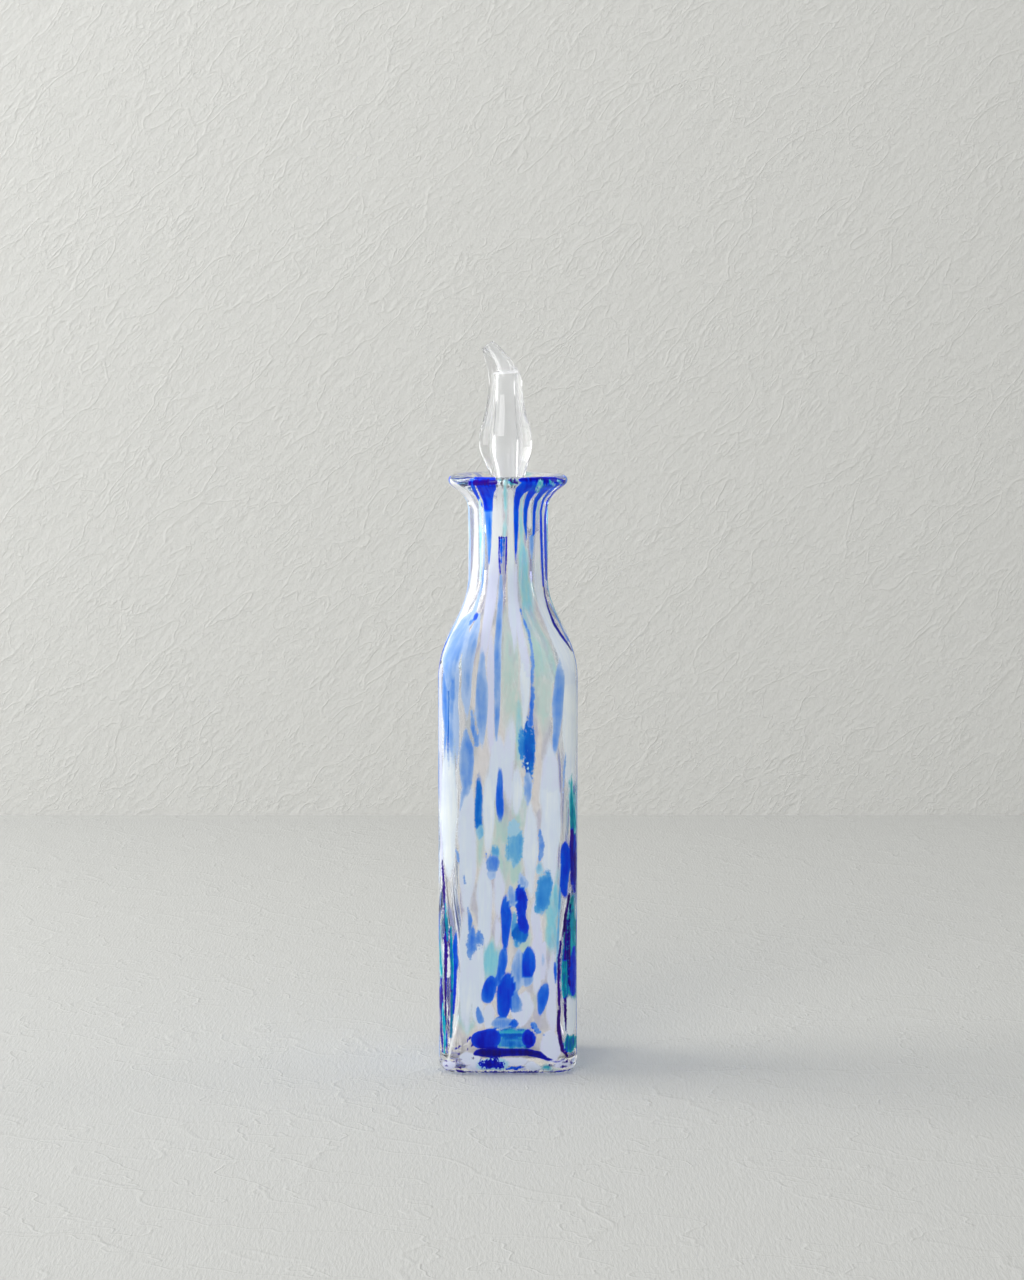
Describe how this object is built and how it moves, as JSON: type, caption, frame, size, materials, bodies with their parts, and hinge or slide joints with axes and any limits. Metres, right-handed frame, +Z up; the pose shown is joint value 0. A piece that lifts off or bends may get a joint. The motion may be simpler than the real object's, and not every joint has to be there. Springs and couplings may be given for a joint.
{
  "type": "oil bottle",
  "caption": "Square-bodied glass oil bottle with fused blue, white and turquoise chips, a flared lip and a bent glass pourer in a ribbed silicone seal that lifts out and turns.",
  "frame": {"origin": "on the bottle's axis, on the surface it stands on", "axes": "+Z up along the bottle's axis; -Y out of the front face; -X the way the pourer's beak points at rest"},
  "size_m": [0.0582, 0.0582, 0.3057],
  "materials": {
    "chipped_glass": "glossy, clear glass with cobalt, opal white and turquoise chips fused on the outside",
    "clear_glass": "glossy, colourless",
    "silicone": "satin, translucent"
  },
  "bodies": {
    "bottle_body": {"bottle": "chipped_glass"},
    "seal_body": {"seal_sleeve": "silicone"},
    "pourer_body": {"pourer_spout": "clear_glass"}
  },
  "joints": [
    {"name": "pourer_lift", "type": "slide", "parent": "bottle_body", "child": "seal_body", "axis": [0, 0, 1], "range_m": [0, 0.036]},
    {"name": "spout_turn", "type": "hinge", "parent": "seal_body", "child": "pourer_body", "pos_m": [0, 0, 0.247], "axis": [0, 0, 1], "continuous": true}
  ]
}
